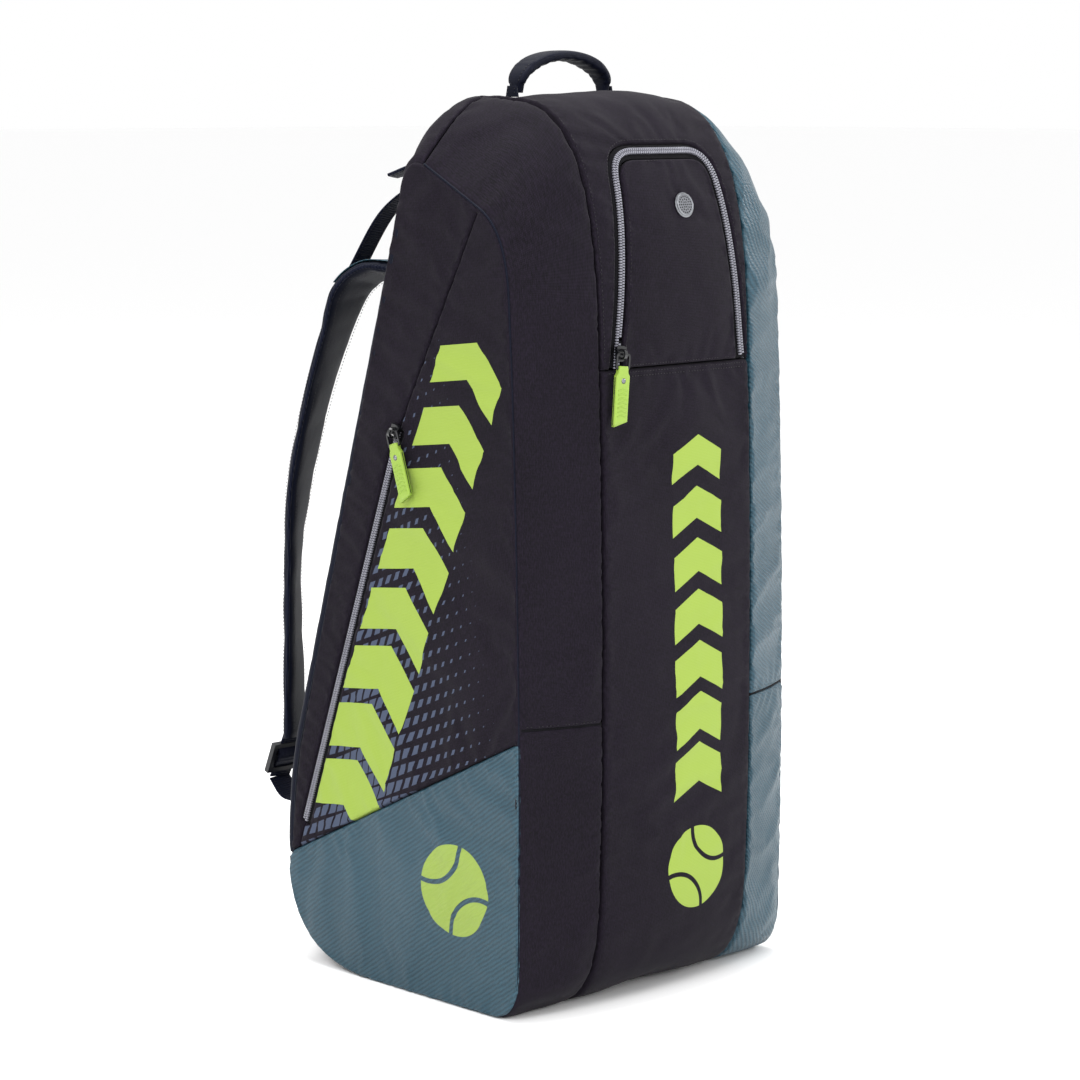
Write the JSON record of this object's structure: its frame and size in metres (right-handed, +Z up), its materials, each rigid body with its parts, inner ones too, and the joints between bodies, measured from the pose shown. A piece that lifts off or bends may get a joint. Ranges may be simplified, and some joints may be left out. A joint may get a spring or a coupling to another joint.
{
  "type": "racket tournament bag",
  "caption": "Tall padded tournament bag for tennis rackets, with two zipped side compartments, a zipped front pocket, padded shoulder straps and a top carrying handle",
  "frame": {"origin": "On the ground, at the base mount in the middle of the bag's width", "axes": "+Z up, -Y out of the narrow front with the zipped pocket, +Y out of the back with the shoulder straps, +X to the right seen from the front"},
  "size_m": [0.352, 0.4069, 0.8055],
  "materials": {
    "black_fabric": "heathered black woven polyester, padded",
    "print_fabric": "black woven polyester with a grey-blue and lime print",
    "teal_fabric": "satin grey-teal diagonal ripstop",
    "lining": "grey lining cloth",
    "strap_fabric": "padded dark navy mesh and webbing",
    "webbing": "dark navy polyester webbing",
    "zip_tape": "silver-grey nylon coil on black tape",
    "zip_metal": "gloss black coated metal",
    "pull_rubber": "lime moulded rubber",
    "eyelet": "satin silver eyelet",
    "buckle": "black acetal",
    "board": "stiffener board"
  },
  "bodies": {
    "carcass": {"back_panel": "black_fabric", "centre_base": "black_fabric", "centre_front": "black_fabric", "centre_top": "black_fabric", "pocket_liner": "lining", "centre_divider": "lining", "base_board_left": "board", "base_board_right": "board", "pocket_zip_outer": "zip_tape", "top_corner_left": "black_fabric", "main_zip_centre_left": "zip_tape", "main_zip_left_slider": "zip_metal", "handle_tab_left": "webbing", "strap_anchor_upper_left": "webbing", "strap_anchor_lower_left": "webbing", "top_corner_right": "black_fabric", "main_zip_centre_right": "zip_tape", "main_zip_right_slider": "zip_metal", "handle_tab_right": "webbing", "strap_anchor_upper_right": "webbing", "strap_anchor_lower_right": "webbing"},
    "left_cover": {"side_rear_left": "black_fabric", "side_print_left": "print_fabric", "side_base_left": "teal_fabric", "gusset_lower_left": "black_fabric", "gusset_upper_left": "black_fabric", "main_zip_cover_left": "zip_tape", "side_zip_left": "zip_tape", "side_pocket_liner_left": "lining"},
    "left_side_slider": {"side_zip_left_slider": "zip_metal"},
    "left_side_ring": {"side_zip_left_pull_ring": "zip_metal"},
    "left_side_tab": {"side_zip_left_pull_tab": "pull_rubber"},
    "left_strap": {"shoulder_pad_left": "strap_fabric", "lifter_web_left": "webbing", "lifter_tail_left": "webbing", "ladder_lock_left": "buckle", "lower_web_left": "webbing"},
    "right_cover": {"side_rear_right": "black_fabric", "side_print_right": "print_fabric", "side_base_right": "teal_fabric", "gusset_lower_right": "teal_fabric", "gusset_upper_right": "teal_fabric", "main_zip_cover_right": "zip_tape", "side_zip_right": "zip_tape", "side_pocket_liner_right": "lining"},
    "right_side_slider": {"side_zip_right_slider": "zip_metal"},
    "right_side_ring": {"side_zip_right_pull_ring": "zip_metal"},
    "right_side_tab": {"side_zip_right_pull_tab": "pull_rubber"},
    "right_strap": {"shoulder_pad_right": "strap_fabric", "lifter_web_right": "webbing", "lifter_tail_right": "webbing", "ladder_lock_right": "buckle", "lower_web_right": "webbing"},
    "flap": {"pocket_flap": "black_fabric", "pocket_zip_inner": "zip_tape", "vent_eyelet": "eyelet"},
    "pocket_slider": {"pocket_zip_slider": "zip_metal"},
    "pocket_ring": {"pocket_zip_pull_ring": "zip_metal"},
    "pocket_tab": {"pocket_zip_pull_tab": "pull_rubber"},
    "handle": {"top_handle": "webbing"}
  },
  "joints": [
    {"name": "left_cover_hinge", "type": "hinge", "parent": "carcass", "child": "left_cover", "pos_m": [-0.165, 0.128, 0.214], "axis": [0, 0.2831, -0.9591], "range_deg": [0, 55]},
    {"name": "right_cover_hinge", "type": "hinge", "parent": "carcass", "child": "right_cover", "pos_m": [0.165, 0.128, 0.214], "axis": [0, -0.2831, 0.9591], "range_deg": [0, 55]},
    {"name": "pocket_flap_hinge", "type": "hinge", "parent": "carcass", "child": "flap", "pos_m": [0, -0.1815, 0.546], "axis": [1, 0, 0], "range_deg": [0, 100]},
    {"name": "pocket_slide", "type": "slide", "parent": "carcass", "child": "pocket_slider", "axis": [0.102, 0.0035, 0.9948], "range_m": [0, 0.038]},
    {"name": "pocket_ring_hinge", "type": "hinge", "parent": "pocket_slider", "child": "pocket_ring", "pos_m": [-0.07388, -0.1867, 0.55815], "axis": [-0.9897, 0.1184, 0.081], "range_deg": [0, 100]},
    {"name": "pocket_tab_hinge", "type": "hinge", "parent": "pocket_ring", "child": "pocket_tab", "pos_m": [-0.07487, -0.18677, 0.54614], "axis": [-0.9897, 0.1184, 0.081], "range_deg": [0, 75]},
    {"name": "left_side_slide", "type": "slide", "parent": "left_cover", "child": "left_side_slider", "axis": [0, 0.3357, -0.942], "range_m": [0, 0.355]},
    {"name": "left_side_ring_hinge", "type": "hinge", "parent": "left_side_slider", "child": "left_side_ring", "pos_m": [-0.1716, -0.00933, 0.48712], "axis": [0, 0.949, -0.3154], "range_deg": [0, 100]},
    {"name": "left_side_tab_hinge", "type": "hinge", "parent": "left_side_ring", "child": "left_side_tab", "pos_m": [-0.1716, -0.01313, 0.47568], "axis": [0, 0.949, -0.3154], "range_deg": [0, 75]},
    {"name": "right_side_slide", "type": "slide", "parent": "right_cover", "child": "right_side_slider", "axis": [0, 0.3357, -0.942], "range_m": [0, 0.355]},
    {"name": "right_side_ring_hinge", "type": "hinge", "parent": "right_side_slider", "child": "right_side_ring", "pos_m": [0.1716, -0.00933, 0.48712], "axis": [0, -0.949, 0.3154], "range_deg": [0, 100]},
    {"name": "right_side_tab_hinge", "type": "hinge", "parent": "right_side_ring", "child": "right_side_tab", "pos_m": [0.1716, -0.01313, 0.47568], "axis": [0, -0.949, 0.3154], "range_deg": [0, 75]},
    {"name": "handle_hinge", "type": "hinge", "parent": "carcass", "child": "handle", "pos_m": [0, -0.038, 0.779], "axis": [1, 0, 0], "range_deg": [-75, 75]},
    {"name": "left_strap_swing", "type": "hinge", "parent": "carcass", "child": "left_strap", "pos_m": [-0.104, 0.15, 0.136], "axis": [0.0545, -0.259, 0.9643], "range_deg": [-35, 35]},
    {"name": "right_strap_swing", "type": "hinge", "parent": "carcass", "child": "right_strap", "pos_m": [0.104, 0.15, 0.136], "axis": [0.0545, 0.259, -0.9643], "range_deg": [-35, 35]}
  ]
}
